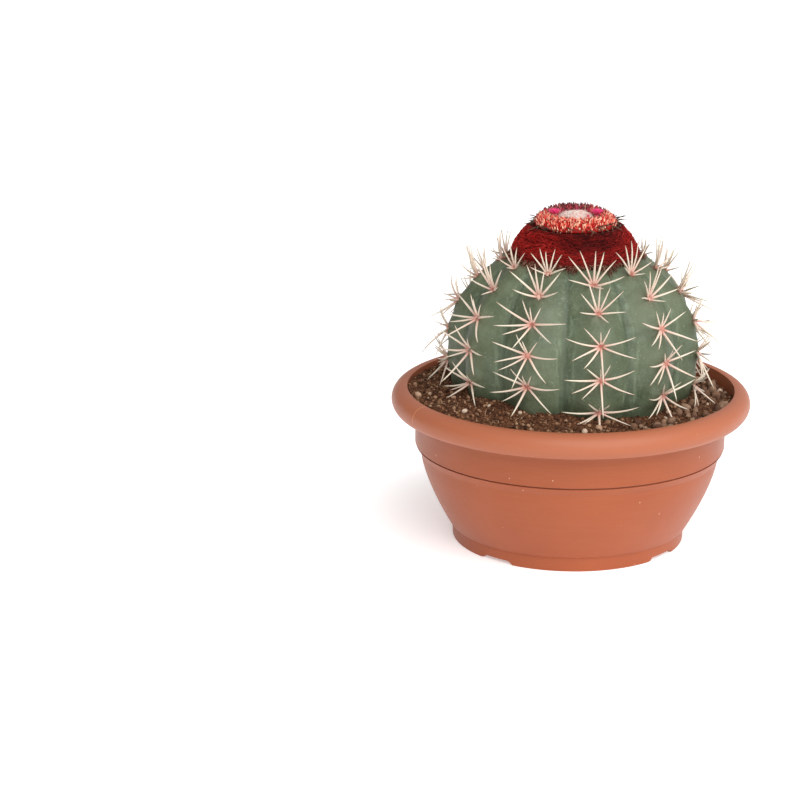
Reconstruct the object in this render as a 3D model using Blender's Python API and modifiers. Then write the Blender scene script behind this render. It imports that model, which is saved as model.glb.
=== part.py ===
"""A ribbed globular cactus with a red cephalium, growing in a moulded plastic bowl.

Frame: metres, +Z up, origin on the ground under the middle of the bowl. The
bowl faces -Y. Azimuths are measured from -Y and grow towards +X.
"""

import math
import random

import bmesh
import bpy
from mathutils import Matrix, Vector

# Clearance kept between neighbouring solids
GAP = 0.0003

# Bowl: foot, bellied wall, shoulder, straight band and rolled rim
RIM_RADIUS = 0.100
RIM_TOP = 0.0870
ROLL_HALF_WIDTH = 0.0074
ROLL_HALF_HEIGHT = 0.0072
ROLL_INNER_ANGLE = math.radians(100)
SKIRT_ANGLE = math.radians(-52)
WALL = 0.0019
FOOT_RADIUS = 0.0652
FOOT_HEIGHT = 0.0085
FOOT_WIDTH = 0.0030
FLOOR_RISE = 0.0030
FLOOR_THICKNESS = 0.0020
BELLY_START_RADIUS = 0.0668
BELLY_TOP_RADIUS = 0.0832
BELLY_TOP = 0.0490
BELLY_FULLNESS = 1.45
BAND_RADIUS = 0.0867
BAND_BOTTOM = 0.0550
BAND_BELOW_RIM = 0.0190
SHOULDER_INSIDE_RIM = 0.0114
SHOULDER_BELOW_RIM = 0.0126
NECK_INSIDE_RIM = 0.0070
NECK_BELOW_RIM = 0.0096
NOTCH_COUNT = 4
NOTCH_WIDTH = 0.0185
NOTCH_HEIGHT = 0.0020
NOTCH_TURN = math.radians(49.25)
DRAIN_COUNT = 4
DRAIN_RADIUS = 0.0045
DRAIN_CIRCLE = 0.0350
BOWL_STEPS = 44

# Potting soil: heaped against the stem, and leaning down to the right and to the back
SOIL_BELOW_RIM = 0.0049
SOIL_SLOPE_X = 0.030
SOIL_SLOPE_Y = 0.016
SOIL_HEAP = 0.0042
SOIL_HEAP_RADIUS = 0.0660
SOIL_STEPS = 36

# Stem: ribbed body, widest at the waist, buried at its base
PLANT_X = 0.0010
RIB_COUNT = 11
FIRST_CREST = math.radians(-57.3)
WAIST_RADIUS = 0.0690
WAIST_ABOVE_RIM = 0.0270
DOME_HEIGHT = 0.0550
BODY_DEPTH = 0.0620
BODY_SQUARENESS = 2.6
CROWN_MARGIN = 0.0005
GROOVE_DEPTH = 0.0065
GROOVE_SHARPNESS = 1.5
ROOT_RADIUS = 0.0110
ROOT_DEPTH = 0.0180
STEPS_PER_RIB = 6

# Areoles: the rows of spine cushions up each rib
FRONT_RIBS = 5
FRONT_ROWS = 5
BACK_ROWS = 4
ROW_PITCH = 0.0186
ROW_CROWDING = 0.0002
CREST_STEP = 0.0002
RIB_ROW_SHIFTS = (
    -0.0148, -0.0100, -0.0234, -0.0180, -0.0210,
    -0.0120, -0.0170, -0.0220, -0.0150, -0.0200, -0.0110,
)
CUSHION_RADIUS = 0.0026
CUSHION_HEIGHT = 0.0016
SPINE_THICKNESS = 0.0012
SPINE_COLLAR = 0.0014
CROWN_ROW = 3
FELT_CLEARANCE = 0.0020
TURN_SPREAD = math.radians(5)

# Spines of one areole: direction round the cushion (degrees from the right,
# growing upwards), lift off the skin (degrees) and length
SIDE_SPINES = (
    (168, 20, 0.0205),
    (196, 24, 0.0195),
    (126, 36, 0.0135),
    (93, 46, 0.0105),
    (56, 36, 0.0120),
    (12, 20, 0.0200),
    (-32, 24, 0.0195),
    (-98, 38, 0.0200),
    (-142, 30, 0.0160),
)
CROWN_SPINES = (
    (150, 34, 0.0160),
    (190, 26, 0.0140),
    (118, 50, 0.0160),
    (90, 60, 0.0150),
    (62, 50, 0.0160),
    (30, 34, 0.0160),
    (-8, 26, 0.0140),
    (-62, 40, 0.0110),
)

# Cephalium: felted dome, ring of bristles, wool in the middle, small flowers
FELT_BASE_RADIUS = 0.0360
FELT_TOP_RADIUS = 0.0262
FELT_HEIGHT = 0.0172
FELT_FULLNESS = 1.6
FELT_STEPS = 32
RING_INNER_RADIUS = 0.0094
RING_OUTER_RADIUS = 0.0244
RING_HEIGHT = 0.0060
RING_STEPS = 20
BRISTLE_LENGTH = 0.0038
WOOL_HEIGHT = 0.0068
WOOL_STEPS = 20
FLOWER_RADIUS = 0.0021
FLOWER_HEIGHT = 0.0094
FLOWER_PETALS = 8
FLOWER_AZIMUTHS = (-88, 30, 84, 172)


# Worked out: the waist's height, and the flat crown under the cephalium
WAIST_HEIGHT = RIM_TOP + WAIST_ABOVE_RIM
CROWN_RADIUS = FELT_BASE_RADIUS + CROWN_MARGIN


def clear_scene():
    """Remove every object that is already in the file."""
    for old in list(bpy.data.objects):
        bpy.data.objects.remove(old, do_unlink=True)


def make_collection(name):
    """A new collection under the scene."""
    group = bpy.data.collections.new(name)
    bpy.context.scene.collection.children.link(group)
    return group


def make_material(name, colour, roughness):
    """A non-metallic Principled material."""
    material = bpy.data.materials.new(name)
    material.use_nodes = True
    shader = material.node_tree.nodes["Principled BSDF"]
    shader.inputs["Base Color"].default_value = (*colour, 1.0)
    shader.inputs["Roughness"].default_value = roughness
    shader.inputs["Metallic"].default_value = 0.0
    return material


def add_object(name, mesh, group, material=None):
    """Link a mesh into a collection as a named object."""
    piece = bpy.data.objects.new(name, mesh)
    group.objects.link(piece)
    if material and not mesh.materials:
        mesh.materials.append(material)
    return piece


def mesh_from(shape, name):
    """Turn a bmesh into a mesh and free it."""
    mesh = bpy.data.meshes.new(name)
    shape.to_mesh(mesh)
    shape.free()
    return mesh


def turned(name, profile, steps, group, material=None):
    """A solid turned about Z from a profile of (radius, height) points."""
    shape = bmesh.new()
    row = [shape.verts.new((radius, 0.0, height)) for radius, height in profile]
    for upper, lower in zip(row, row[1:]):
        shape.edges.new((upper, lower))
    piece = add_object(name, mesh_from(shape, name), group, material)
    screw = piece.modifiers.new("turn", "SCREW")
    screw.steps = steps
    screw.render_steps = steps
    screw.use_merge_vertices = True
    screw.merge_threshold = 0.00001
    screw.use_smooth_shade = True
    return piece


def applied(piece):
    """Replace an object's mesh by its evaluated mesh and drop its modifiers."""
    bpy.context.view_layer.update()
    evaluated = piece.evaluated_get(bpy.context.evaluated_depsgraph_get())
    mesh = bpy.data.meshes.new_from_object(evaluated)
    piece.modifiers.clear()
    piece.data = mesh
    return piece


def cut(piece, cutter):
    """Cut one closed solid out of another."""
    modifier = piece.modifiers.new("cut_" + cutter.name, "BOOLEAN")
    modifier.operation = "DIFFERENCE"
    modifier.solver = "EXACT"
    modifier.object = cutter


def as_cutter(piece):
    """Mark an object as a tool that isn't part of the model."""
    piece.hide_render = True
    piece.display_type = "WIRE"
    return piece


def arc(centre, half_width, half_height, start, end, count):
    """Points along an elliptical arc in the profile plane."""
    points = []
    for step in range(count + 1):
        angle = start + (end - start) * step / count
        points.append((centre[0] + half_width * math.cos(angle), centre[1] + half_height * math.sin(angle)))
    return points


def towards(azimuth):
    """The level unit vector at an azimuth."""
    return Vector((math.sin(azimuth), -math.cos(azimuth), 0.0))


# ---------------------------------------------------------------- bowl


def belly_radius(height):
    """Outer radius of the bellied wall between the foot and the shoulder."""
    share = (height - FOOT_HEIGHT) / (BELLY_TOP - FOOT_HEIGHT)
    rise = 1.0 - (1.0 - share) ** BELLY_FULLNESS
    return BELLY_START_RADIUS + (BELLY_TOP_RADIUS - BELLY_START_RADIUS) * rise


def belly_heights(count):
    """Heights spread over the bellied wall, bottom to top."""
    return [FOOT_HEIGHT + (BELLY_TOP - FOOT_HEIGHT) * step / count for step in range(count + 1)]


def roll_centre():
    """Centre of the rolled rim's section."""
    return (RIM_RADIUS - ROLL_HALF_WIDTH, RIM_TOP - ROLL_HALF_HEIGHT)


def inner_wall():
    """Inside of the bowl from the floor's edge up to under the rolled rim."""
    floor_top = FLOOR_RISE + FLOOR_THICKNESS
    points = [(FOOT_RADIUS - WALL - 0.0015, floor_top)]
    points += [(belly_radius(height) - WALL, height + WALL / 2) for height in belly_heights(5)]
    points.append((BAND_RADIUS - WALL, BAND_BOTTOM + WALL / 2))
    points.append((BAND_RADIUS - WALL, RIM_TOP - BAND_BELOW_RIM))
    points.append((RIM_RADIUS - SHOULDER_INSIDE_RIM - WALL, RIM_TOP - SHOULDER_BELOW_RIM + WALL / 2))
    points.append((RIM_RADIUS - NECK_INSIDE_RIM - WALL, RIM_TOP - NECK_BELOW_RIM + WALL / 2))
    return points


def bowl_profile():
    """Section of the bowl: inside floor, inside wall, rim, outside wall, foot."""
    floor_top = FLOOR_RISE + FLOOR_THICKNESS
    centre = roll_centre()
    profile = [(0.0, floor_top)]
    profile += inner_wall()
    profile += arc(centre, ROLL_HALF_WIDTH, ROLL_HALF_HEIGHT, ROLL_INNER_ANGLE, SKIRT_ANGLE, 9)
    inside = (ROLL_HALF_WIDTH - WALL, ROLL_HALF_HEIGHT - WALL)
    neck_angle = math.acos((ROLL_HALF_WIDTH - NECK_INSIDE_RIM) / inside[0])
    profile += arc(centre, *inside, SKIRT_ANGLE, neck_angle, 5)
    profile.append((RIM_RADIUS - NECK_INSIDE_RIM, RIM_TOP - NECK_BELOW_RIM))
    profile.append((RIM_RADIUS - SHOULDER_INSIDE_RIM, RIM_TOP - SHOULDER_BELOW_RIM))
    profile.append((BAND_RADIUS, RIM_TOP - BAND_BELOW_RIM))
    profile.append((BAND_RADIUS, BAND_BOTTOM))
    profile += [(belly_radius(height), height) for height in reversed(belly_heights(5))]
    profile.append((FOOT_RADIUS, FOOT_HEIGHT))
    profile.append((FOOT_RADIUS, 0.0))
    profile.append((FOOT_RADIUS - FOOT_WIDTH, 0.0))
    profile.append((FOOT_RADIUS - FOOT_WIDTH, FLOOR_RISE))
    profile.append((0.0, FLOOR_RISE))
    return profile


def make_bowl(parts, cutters, material):
    """The bowl, with notches under its foot ring and drain holes in its floor."""
    bowl = turned("bowl", bowl_profile(), BOWL_STEPS, parts, material)
    for number in range(NOTCH_COUNT):
        azimuth = NOTCH_TURN + math.tau * number / NOTCH_COUNT
        shape = bmesh.new()
        bmesh.ops.create_cube(shape, size=1.0)
        bmesh.ops.scale(shape, verts=shape.verts, vec=(NOTCH_WIDTH, FOOT_WIDTH * 3, NOTCH_HEIGHT * 2))
        notch = as_cutter(add_object(f"notch_{number + 1}", mesh_from(shape, "notch"), cutters))
        notch.location = towards(azimuth) * (FOOT_RADIUS - FOOT_WIDTH / 2)
        notch.rotation_euler.z = azimuth
        cut(bowl, notch)
    for number in range(DRAIN_COUNT):
        azimuth = NOTCH_TURN + math.tau * (number + 0.5) / DRAIN_COUNT
        shape = bmesh.new()
        bmesh.ops.create_cone(
            shape, cap_ends=True, segments=12, radius1=DRAIN_RADIUS, radius2=DRAIN_RADIUS, depth=0.02
        )
        drain = as_cutter(add_object(f"drain_{number + 1}", mesh_from(shape, "drain"), cutters))
        drain.location = towards(azimuth) * DRAIN_CIRCLE
        cut(bowl, drain)
    return bowl


# ---------------------------------------------------------------- stem


def body_radius(height):
    """Radius of the stem's rib crests at a height."""
    if height >= WAIST_HEIGHT:
        share = min((height - WAIST_HEIGHT) / DOME_HEIGHT, 1.0)
        return WAIST_RADIUS * math.sqrt(1.0 - share * share)
    share = min((WAIST_HEIGHT - height) / BODY_DEPTH, 1.0)
    return WAIST_RADIUS * (1.0 - share**BODY_SQUARENESS) ** (1.0 / BODY_SQUARENESS)


def crown_height():
    """Height of the flat crown that carries the cephalium."""
    return WAIST_HEIGHT + DOME_HEIGHT * math.sqrt(1.0 - (CROWN_RADIUS / WAIST_RADIUS) ** 2)


def crest_azimuth(rib):
    """Azimuth of a rib's crest."""
    return FIRST_CREST + math.tau * rib / RIB_COUNT


def groove_share(azimuth):
    """0 on a rib's crest, 1 in the groove between two ribs."""
    turn = (azimuth - FIRST_CREST) * RIB_COUNT / math.tau
    return abs(turn - round(turn)) * 2.0


def stem_profile():
    """Crest line of the stem from the crown down to the root's end."""
    bottom = WAIST_HEIGHT - BODY_DEPTH
    top = crown_height()
    start = math.asin((top - WAIST_HEIGHT) / DOME_HEIGHT)
    profile = [(CROWN_RADIUS * 0.6, top)]
    for step in range(9):
        angle = start * (1.0 - step / 8)
        profile.append((WAIST_RADIUS * math.cos(angle), WAIST_HEIGHT + DOME_HEIGHT * math.sin(angle)))
    for step in range(1, 6):
        height = WAIST_HEIGHT - BODY_DEPTH * math.sin(math.pi / 2 * step / 6)
        profile.append((body_radius(height), height))
    profile.append((WAIST_RADIUS * 0.45, bottom))
    profile.append((ROOT_RADIUS, bottom - ROOT_DEPTH * 0.3))
    profile.append((ROOT_RADIUS * 0.5, bottom - ROOT_DEPTH))
    return profile


def groove_depth(height):
    """Depth of the grooves, which run out at the crown and at the base."""
    top = crown_height()
    bottom = WAIST_HEIGHT - BODY_DEPTH
    fade_up = min(max((top + 0.004 - height) / 0.030, 0.0), 1.0)
    fade_down = min(max((height - bottom) / 0.020, 0.0), 1.0)
    return GROOVE_DEPTH * fade_up**0.6 * fade_down


def stem_mesh(name, grow):
    """The ribbed stem with its root stub, grown outwards by a clearance."""
    profile = stem_profile()
    segments = RIB_COUNT * STEPS_PER_RIB
    shape = bmesh.new()
    bmesh.ops.create_uvsphere(shape, u_segments=segments, v_segments=len(profile) + 1, radius=1.0)
    heights = sorted({round(vert.co.z, 5) for vert in shape.verts}, reverse=True)
    rows = [(0.0, profile[0][1])] + profile + [(0.0, profile[-1][1])]
    for vert in shape.verts:
        radius, height = rows[heights.index(round(vert.co.z, 5))]
        azimuth = math.atan2(vert.co.x, -vert.co.y) + FIRST_CREST
        radius -= groove_depth(height) * groove_share(azimuth) ** GROOVE_SHARPNESS * min(radius / 0.03, 1.0)
        vert.co = towards(azimuth) * radius + Vector((PLANT_X, 0.0, height))
    shape.normal_update()
    moves = [(vert, vert.normal * grow) for vert in shape.verts]
    for vert, move in moves:
        vert.co += move
    return mesh_from(shape, name)


# ---------------------------------------------------------------- soil


def soil_height(x, y):
    """Height of the soil's surface at a place."""
    edge = RIM_RADIUS - NECK_INSIDE_RIM - WALL
    heap = SOIL_HEAP * min((edge - math.hypot(x, y)) / (edge - SOIL_HEAP_RADIUS), 1.0)
    return RIM_TOP - SOIL_BELOW_RIM + heap - SOIL_SLOPE_X * x - SOIL_SLOPE_Y * y


def make_soil(parts, cutters, material):
    """The soil that fills the bowl, hollowed out where the stem and root sit."""
    wall = [(radius - GAP * 1.4, height + GAP) for radius, height in inner_wall()[:-1]]
    edge = RIM_RADIUS - NECK_INSIDE_RIM - WALL - GAP * 1.4
    level = RIM_TOP - SOIL_BELOW_RIM
    profile = [(0.0, level), (SOIL_HEAP_RADIUS, level), (edge, level)]
    profile.append((edge, RIM_TOP - NECK_BELOW_RIM + WALL / 2 + GAP))
    profile += list(reversed(wall))
    profile.append((0.0, FLOOR_RISE + FLOOR_THICKNESS + GAP))
    soil = applied(turned("soil", profile, SOIL_STEPS, parts, material))
    for vert in soil.data.vertices:
        if vert.co.z > level - GAP:
            vert.co.z = soil_height(vert.co.x, vert.co.y)
    hollow = as_cutter(add_object("stem_clearance", stem_mesh("stem_clearance", GAP), cutters))
    cut(soil, hollow)
    return soil


# ---------------------------------------------------------------- spines


def crest_room():
    """Length along a crest from the waist up to the last place for an areole."""
    closest = FELT_BASE_RADIUS + CUSHION_RADIUS + FELT_CLEARANCE
    height = WAIST_HEIGHT
    travelled = 0.0
    while body_radius(height) > closest:
        height += CREST_STEP * slope_share(height)
        travelled += CREST_STEP
    return travelled


def row_place(rib, row):
    """Place of an areole along its crest, from the waist; the rows share the crest's length."""
    last = FRONT_ROWS - 1
    start = RIB_ROW_SHIFTS[rib]
    spread = ROW_PITCH * last - ROW_CROWDING * last * last
    squeeze = min(1.0, (crest_room() - start) / spread)
    return start + (ROW_PITCH * row - ROW_CROWDING * row * row) * squeeze


def areole_frame(rib, row):
    """Placement of an areole: X across the rib, Y up the rib, Z off the skin."""
    along = row_place(rib, row)
    height = WAIST_HEIGHT
    for _ in range(round(abs(along) / CREST_STEP)):
        height += math.copysign(CREST_STEP, along) * slope_share(height)
    radius = body_radius(height)
    rise = slope_share(height)
    lean = math.sqrt(max(1.0 - rise * rise, 0.0))
    if height < WAIST_HEIGHT:
        lean = -lean
    outward = towards(crest_azimuth(rib))
    up = Vector((0.0, 0.0, 1.0))
    climb = (up * rise - outward * lean).normalized()
    normal = (outward * rise + up * lean).normalized()
    across = climb.cross(normal)
    place = Matrix((across, climb, normal)).transposed().to_4x4()
    place.translation = outward * radius + Vector((PLANT_X, 0.0, height)) + normal * GAP * 1.5
    return place


def slope_share(height):
    """How much a step along the rib's crest climbs at a height, 0 to 1."""
    tiny = 0.0001
    spread = (body_radius(height + tiny) - body_radius(height - tiny)) / (2 * tiny)
    return 1.0 / math.sqrt(1.0 + spread * spread)


def grow_spike(shape, face, tip, collar, thickness):
    """Draw a face out into a spike with a wider collar at its foot."""
    middle = face.calc_center_median()
    aim = (tip - middle).normalized()
    drawn = bmesh.ops.extrude_discrete_faces(shape, faces=[face])["faces"][0]
    size = sum((vert.co - middle).length for vert in drawn.verts) / len(drawn.verts)
    for vert in drawn.verts:
        vert.co = middle + aim * collar + (vert.co - middle) * (thickness / 2 / size)
    point = bmesh.ops.poke(shape, faces=[drawn])["verts"][0]
    point.co = tip


def cluster_mesh(name, spines, drop):
    """An areole: a low felted cushion with its spines.

    No spine reaches more than the drop below the cushion, so that the lowest
    ones lie out over the soil instead of going into it.
    """
    shape = bmesh.new()
    bmesh.ops.create_icosphere(shape, subdivisions=1, radius=1.0)
    for vert in shape.verts:
        vert.co.x *= CUSHION_RADIUS
        vert.co.y *= CUSHION_RADIUS
        vert.co.z = max(vert.co.z, 0.0) * CUSHION_HEIGHT
    shape.normal_update()
    free = [face for face in shape.faces if face.normal.z > 0.05]
    for direction, lift, length in spines:
        angle = math.radians(direction)
        rise = math.radians(lift)
        reach = length
        tip = Vector((math.cos(angle), math.sin(angle), 0.0)) * math.cos(rise) * reach
        tip.z = math.sin(rise) * reach
        if tip.y < -drop:
            reach = min(length, drop * 2.2)
            tip *= reach / length
            tip.y = max(tip.y, -drop)
            tip.z = math.sqrt(max(reach**2 - tip.x**2 - tip.y**2, (reach * 0.4) ** 2))
        aim = tip.normalized()
        face = max(free, key=lambda option: option.calc_center_median().normalized().dot(aim))
        free.remove(face)
        grow_spike(shape, face, tip, SPINE_COLLAR, SPINE_THICKNESS)
    return mesh_from(shape, name)


def make_spines(parts, material):
    """All the areoles, rib by rib from the front left, bottom to top."""
    chance = random.Random(11)
    everywhere = 1.0
    side = cluster_mesh("side_spines", SIDE_SPINES, everywhere)
    crown = cluster_mesh("crown_spines", CROWN_SPINES, everywhere)
    for rib in range(RIB_COUNT):
        lowest = 0 if rib < FRONT_RIBS else FRONT_ROWS - BACK_ROWS
        for row in range(lowest, FRONT_ROWS):
            name = f"spines_rib{rib + 1:02d}_row{row + 1}"
            place = areole_frame(rib, row)
            spot = place.translation
            drop = spot.z - soil_height(spot.x, spot.y) - 0.002
            if row >= CROWN_ROW:
                mesh = crown
            elif drop > 0.024:
                mesh = side
            else:
                mesh = cluster_mesh(name, SIDE_SPINES, drop)
            cluster = add_object(name, mesh, parts, material)
            turn = chance.uniform(-TURN_SPREAD, TURN_SPREAD)
            cluster.matrix_world = place @ Matrix.Rotation(turn, 4, "Z")


# ---------------------------------------------------------------- cephalium


def make_felt(parts, material):
    """The felted dome on the crown."""
    base = crown_height() + GAP
    profile = [(0.0, base + FELT_HEIGHT), (FELT_TOP_RADIUS - 0.001, base + FELT_HEIGHT)]
    for step in range(8):
        share = 1.0 - step / 7
        radius = FELT_TOP_RADIUS + (FELT_BASE_RADIUS - FELT_TOP_RADIUS) * (1.0 - share**FELT_FULLNESS)
        profile.append((radius, base + FELT_HEIGHT * share * 0.96))
    profile.append((0.0, base))
    felt = turned("cephalium_felt", profile, FELT_STEPS, parts, material)
    felt.location.x = PLANT_X
    return felt


def flower_places():
    """Places of the flowers on the felt."""
    seat = crown_height() + FELT_HEIGHT + GAP * 2
    circle = RING_INNER_RADIUS + FLOWER_RADIUS + GAP * 0.7
    return [
        towards(math.radians(azimuth)) * circle + Vector((PLANT_X, 0.0, seat))
        for azimuth in FLOWER_AZIMUTHS
    ]


def make_bristle_ring(parts, cutters, material):
    """The raised ring of bristles, with a hollow for each flower."""
    seat = crown_height() + FELT_HEIGHT + GAP * 2
    top = seat + RING_HEIGHT
    width = RING_OUTER_RADIUS - RING_INNER_RADIUS
    profile = [
        (RING_INNER_RADIUS, seat),
        (RING_INNER_RADIUS, top - 0.0016),
        (RING_INNER_RADIUS + width * 0.2, top),
        (RING_INNER_RADIUS + width * 0.55, top - 0.0006),
        (RING_INNER_RADIUS + width * 0.86, top - 0.0024),
        (RING_OUTER_RADIUS, seat + 0.0016),
        (RING_OUTER_RADIUS - 0.0008, seat),
        (RING_INNER_RADIUS, seat),
    ]
    ring = applied(turned("bristle_ring", profile, RING_STEPS, parts, material))
    shape = bmesh.new()
    shape.from_mesh(ring.data)
    bmesh.ops.remove_doubles(shape, verts=shape.verts, dist=0.00001)
    shape.normal_update()
    hollows = [place.to_2d() - Vector((PLANT_X, 0.0)) for place in flower_places()]
    chance = random.Random(5)
    for face in [face for face in shape.faces if face.normal.z > 0.35]:
        middle = face.calc_center_median()
        if min((middle.to_2d() - hollow).length for hollow in hollows) < FLOWER_RADIUS * 2.4:
            continue
        lean = Vector((middle.x, middle.y, 0.0)).normalized()
        aim = (face.normal + Vector((0.0, 0.0, 0.6)) + lean * 0.3).normalized()
        tip = middle + aim * BRISTLE_LENGTH * chance.uniform(0.8, 1.15)
        grow_spike(shape, face, tip, BRISTLE_LENGTH * 0.2, 0.0017)
    mesh = mesh_from(shape, "bristle_ring")
    mesh.materials.append(material)
    ring.data = mesh
    ring.location.x = PLANT_X
    for number, place in enumerate(flower_places()):
        shape = bmesh.new()
        size = FLOWER_RADIUS + GAP
        bmesh.ops.create_cone(shape, cap_ends=True, segments=12, radius1=size, radius2=size, depth=0.03)
        hollow = as_cutter(add_object(f"flower_hollow_{number + 1}", mesh_from(shape, "hollow"), cutters))
        hollow.location = place
        cut(ring, hollow)
    return ring


def make_wool(parts, material):
    """The low tuft of wool in the middle of the ring."""
    seat = crown_height() + FELT_HEIGHT + GAP * 2
    radius = RING_INNER_RADIUS - GAP
    profile = arc((0.0, seat), radius, WOOL_HEIGHT, math.pi / 2, 0.0, 6)
    profile.append((0.0, seat))
    wool = turned("wool_tuft", profile, WOOL_STEPS, parts, material)
    wool.location.x = PLANT_X
    return wool


def flower_mesh():
    """A small tubular flower: a cup whose rim rises into petals."""
    shape = bmesh.new()
    bmesh.ops.create_cone(
        shape,
        cap_ends=True,
        segments=FLOWER_PETALS * 2,
        radius1=FLOWER_RADIUS * 0.6,
        radius2=FLOWER_RADIUS,
        depth=FLOWER_HEIGHT,
    )
    bmesh.ops.translate(shape, verts=shape.verts, vec=(0.0, 0.0, FLOWER_HEIGHT / 2))
    top = max(shape.faces, key=lambda face: face.calc_center_median().z)
    bmesh.ops.inset_individual(shape, faces=[top], thickness=FLOWER_RADIUS * 0.3)
    for vert in top.verts:
        vert.co.z -= FLOWER_HEIGHT * 0.25
    rim = [vert for vert in shape.verts if vert.co.z > FLOWER_HEIGHT * 0.9]
    for vert in rim:
        turn = math.atan2(vert.co.y, vert.co.x) * FLOWER_PETALS / math.tau
        vert.co.z -= FLOWER_HEIGHT * 0.22 * abs(turn - round(turn)) * 2.0
    return mesh_from(shape, "flower")


def make_flowers(parts, material):
    """The open flowers between the wool and the bristles."""
    mesh = flower_mesh()
    for number, place in enumerate(flower_places()):
        flower = add_object(f"flower_{number + 1}", mesh, parts, material)
        flower.location = place


clear_scene()
parts = make_collection("round_cactus_in_bowl")
cutters = make_collection("cutters")

terracotta = make_material("terracotta_plastic", (0.56, 0.19, 0.10), 0.45)
earth = make_material("potting_soil", (0.085, 0.045, 0.028), 0.95)
skin = make_material("waxy_green_skin", (0.13, 0.21, 0.14), 0.55)
horn = make_material("ivory_spine", (0.80, 0.62, 0.48), 0.50)
felt_red = make_material("red_felt", (0.28, 0.015, 0.012), 0.90)
bristle_red = make_material("orange_red_bristle", (0.65, 0.10, 0.05), 0.70)
wool_white = make_material("white_wool", (0.86, 0.70, 0.62), 0.95)
petal_pink = make_material("magenta_petal", (0.70, 0.06, 0.22), 0.55)

make_bowl(parts, cutters, terracotta)
make_soil(parts, cutters, earth)
add_object("cactus_stem", stem_mesh("cactus_stem", 0.0), parts, skin)
make_spines(parts, horn)
make_felt(parts, felt_red)
make_bristle_ring(parts, cutters, bristle_red)
make_wool(parts, wool_white)
make_flowers(parts, petal_pink)
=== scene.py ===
import math

import bmesh
import bpy
import numpy as np
from mathutils import Matrix, Vector, noise


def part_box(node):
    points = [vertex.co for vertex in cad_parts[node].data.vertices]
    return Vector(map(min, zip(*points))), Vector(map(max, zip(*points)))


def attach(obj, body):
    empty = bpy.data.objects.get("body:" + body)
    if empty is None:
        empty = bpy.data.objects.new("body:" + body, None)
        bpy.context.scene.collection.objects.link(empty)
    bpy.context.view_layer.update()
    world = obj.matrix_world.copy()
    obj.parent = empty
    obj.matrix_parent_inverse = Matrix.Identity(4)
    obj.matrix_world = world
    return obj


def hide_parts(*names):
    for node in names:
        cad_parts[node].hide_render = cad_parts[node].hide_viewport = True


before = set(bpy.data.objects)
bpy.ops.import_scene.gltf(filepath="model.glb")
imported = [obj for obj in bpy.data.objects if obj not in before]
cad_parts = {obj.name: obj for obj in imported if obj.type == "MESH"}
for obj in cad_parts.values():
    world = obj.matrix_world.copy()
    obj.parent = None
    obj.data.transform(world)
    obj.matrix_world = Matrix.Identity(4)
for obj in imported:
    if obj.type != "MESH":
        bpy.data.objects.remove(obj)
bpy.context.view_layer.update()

# ---------------------------------------------------------------- bowl
# The bowl is moulded in one piece in terracotta-coloured polypropylene. It has a
# foot ring with four drainage notches, a bellied wall, a stepped shoulder under a
# straight band, and a rim rolled over outwards. Nothing is fixed to it.
BOWL_STEPS = 240
WALL = 0.0019
ROLL_HALF_WIDTH = 0.0074
ROLL_HALF_HEIGHT = 0.0072
ROLL_INNER_ANGLE = math.radians(102)
SKIRT_ANGLE = math.radians(-52)
FOOT_RADIUS = 0.0652
FOOT_HEIGHT = 0.0085
FOOT_WIDTH = 0.0030
FLOOR_RISE = 0.0030
FLOOR_TOP = 0.0050
BELLY_START_RADIUS = 0.0668
BELLY_TOP_RADIUS = 0.0834
BELLY_TOP = 0.0492
BELLY_FULLNESS = 1.45
BAND_RADIUS = 0.0867
BAND_BOTTOM = 0.0546
UNDERCUT_DEPTH = 0.0011
UNDERCUT_HEIGHT = 0.0008
BAND_BELOW_RIM = 0.0190
SHOULDER_INSIDE_RIM = 0.0114
SHOULDER_BELOW_RIM = 0.0126
NECK_INSIDE_RIM = 0.0070
NECK_BELOW_RIM = 0.0096
NOTCH_COUNT = 4
NOTCH_TURN = math.radians(49.25)
NOTCH_HALF_ANGLE = math.radians(8.2)
NOTCH_HEIGHT = 0.0020
NOTCH_FLANK = math.radians(1.6)
DRAIN_CIRCLE = 0.0350
SCRATCH_AZIMUTH = math.radians(-62.3)
SCRATCH_ACROSS = (math.cos(SCRATCH_AZIMUTH), math.sin(SCRATCH_AZIMUTH), 0.0)
SCRATCH_HALF_WIDTH = 0.00028
SCRATCH_DROP = 0.0085
# Depth below the rim's top of the painted highlight on the rolled rim.
LIT_RIM_DEPTH = 0.020

bowl_low, bowl_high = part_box("bowl")
RIM_RADIUS = (bowl_high.x - bowl_low.x) / 2
RIM_TOP = bowl_high.z


class Socket:
    """A shader output that Python arithmetic works on: each operator adds a Math node."""

    def __init__(self, finish, output):
        self.finish = finish
        self.output = output

    def maths(self, operation, first, second):
        return self.finish.node("ShaderNodeMath", {"operation": operation}, {0: first, 1: second})

    def __add__(self, other):
        return self.maths("ADD", self, other)

    def __radd__(self, other):
        return self.maths("ADD", other, self)

    def __sub__(self, other):
        return self.maths("SUBTRACT", self, other)

    def __rsub__(self, other):
        return self.maths("SUBTRACT", other, self)

    def __mul__(self, other):
        return self.maths("MULTIPLY", self, other)

    def __rmul__(self, other):
        return self.maths("MULTIPLY", other, self)

    def __pow__(self, other):
        return self.maths("POWER", self, other)

    def __gt__(self, other):
        return self.maths("GREATER_THAN", self, other)

    def __lt__(self, other):
        return self.maths("LESS_THAN", self, other)


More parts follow.
